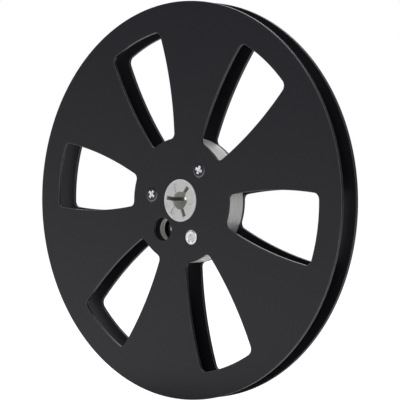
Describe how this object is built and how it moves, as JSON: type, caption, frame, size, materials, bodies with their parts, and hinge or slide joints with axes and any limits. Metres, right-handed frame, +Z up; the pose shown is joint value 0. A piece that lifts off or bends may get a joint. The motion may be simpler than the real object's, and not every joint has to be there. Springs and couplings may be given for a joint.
{
  "type": "audio tape reel",
  "caption": "Audio tape reel: windowed black metal flanges screwed to a narrow light grey drum, with a slotted spindle bore and a finger hole for threading.",
  "frame": {"origin": "centre of the reel, on the spindle axis, midway between the flanges", "axes": "+Y along the spindle axis and out of the rear face, so the front face looks towards -Y; +Z up as the reel stands in the picture"},
  "size_m": [0.178, 0.012, 0.178],
  "materials": {
    "flange_black": "satin black anodised",
    "drum_grey": "smooth light grey with faint turning marks",
    "hub_grey": "moulded light grey",
    "bush_grey": "smooth light grey with worn edges",
    "insert_brass": "turned brass",
    "screw_black": "blackened steel, bright in the recess",
    "screw_plated": "bright plated"
  },
  "bodies": {
    "root": {"front_flange": "flange_black", "rear_flange": "flange_black", "drum_sleeve": "drum_grey", "front_hub_half": "hub_grey", "rear_hub_half": "hub_grey", "spindle_bush": "bush_grey", "threaded_inserts": "insert_brass", "front_cross_screws": "screw_black", "front_socket_screw": "screw_plated", "rear_cross_screws": "screw_black", "rear_socket_screw": "screw_plated"}
  },
  "joints": []
}
